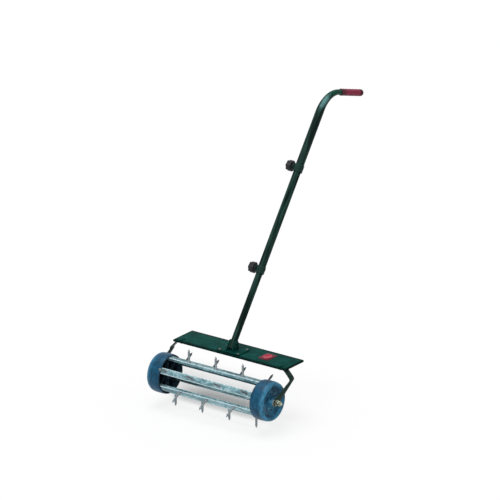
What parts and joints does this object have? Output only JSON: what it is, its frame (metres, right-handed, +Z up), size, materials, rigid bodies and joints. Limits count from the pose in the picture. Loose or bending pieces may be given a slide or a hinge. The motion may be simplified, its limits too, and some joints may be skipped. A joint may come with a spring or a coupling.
{
  "type": "spike aerator",
  "caption": "Push-along lawn aerator: a spiked drum between two wheels, a flat weight deck and a telescopic tube handle with clamp knobs and one hand grip.",
  "frame": {"origin": "on the ground under the middle of the whole object's box", "axes": "+X along the axle towards the right-hand wheel, +Y from the drum towards the person who pushes, +Z up"},
  "size_m": [0.6154, 1.0482, 1.0831],
  "materials": {
    "deck_paint": "dark green gloss paint on sheet steel",
    "handle_paint": "very dark green powder coat",
    "wheel_plastic": "moulded blue plastic",
    "galvanised": "galvanised steel",
    "zinc": "zinc-plated steel",
    "knob_plastic": "black moulded plastic",
    "bush_nylon": "off-white nylon",
    "grip_rubber": "crimson soft plastic"
  },
  "bodies": {
    "frame": {"deck_plate": "deck_paint", "side_arm_left": "handle_paint", "side_arm_right": "handle_paint", "axle": "zinc", "inner_washer_left": "zinc", "inner_washer_right": "zinc", "outer_washer_left": "zinc", "outer_washer_right": "zinc", "axle_nut_left": "zinc", "axle_nut_right": "zinc", "axle_lock_nut_left": "zinc", "axle_lock_nut_right": "zinc", "arm_bolt_1": "zinc", "arm_bolt_2": "zinc", "arm_bolt_3": "zinc", "arm_bolt_4": "zinc", "arm_nut_1": "zinc", "arm_nut_2": "zinc", "arm_nut_3": "zinc", "arm_nut_4": "zinc", "handle_bracket": "handle_paint", "bracket_bolt_1": "zinc", "bracket_bolt_2": "zinc", "bracket_bolt_3": "zinc", "bracket_bolt_4": "zinc", "bracket_nut_1": "zinc", "bracket_nut_2": "zinc", "bracket_nut_3": "zinc", "bracket_nut_4": "zinc", "cross_bolt_1": "zinc", "cross_bolt_2": "zinc", "cross_nut_1": "zinc", "cross_nut_2": "zinc", "lower_tube": "handle_paint"},
    "drum": {"wheel_left": "wheel_plastic", "wheel_right": "wheel_plastic", "wheel_bush_left": "bush_nylon", "wheel_bush_right": "bush_nylon", "spike_bar_1": "galvanised", "spike_bar_2": "galvanised", "spike_bar_3": "galvanised", "spike_bar_4": "galvanised", "spike_bar_5": "galvanised", "spike_bar_6": "galvanised"},
    "middle_section": {"middle_tube": "handle_paint", "lower_collar": "handle_paint", "lower_collar_rivet": "zinc"},
    "lower_knob": {"lower_knob": "knob_plastic", "lower_clamp_screw": "zinc"},
    "upper_section": {"upper_tube": "handle_paint", "upper_collar": "handle_paint", "upper_collar_rivet": "zinc", "hand_grip": "grip_rubber"},
    "upper_knob": {"upper_knob": "knob_plastic", "upper_clamp_screw": "zinc"}
  },
  "joints": [
    {"name": "drum_spin", "type": "hinge", "parent": "frame", "child": "drum", "pos_m": [0, -0.41794, 0.122], "axis": [1, 0, 0], "continuous": true},
    {"name": "middle_section_slide", "type": "slide", "parent": "frame", "child": "middle_section", "axis": [0, 0.5807, 0.8141], "range_m": [-0.14, 0.03]},
    {"name": "lower_knob_turn", "type": "hinge", "parent": "middle_section", "child": "lower_knob", "pos_m": [-0.0105, -0.1189, 0.50003], "axis": [-1, 0, 0], "range_deg": [0, 540]},
    {"name": "upper_section_slide", "type": "slide", "parent": "middle_section", "child": "upper_section", "axis": [0, 0.5807, 0.8141], "range_m": [-0.14, 0.03]},
    {"name": "upper_knob_turn", "type": "hinge", "parent": "upper_section", "child": "upper_knob", "pos_m": [-0.0105, 0.12122, 0.83667], "axis": [-1, 0, 0], "range_deg": [0, 540]}
  ]
}
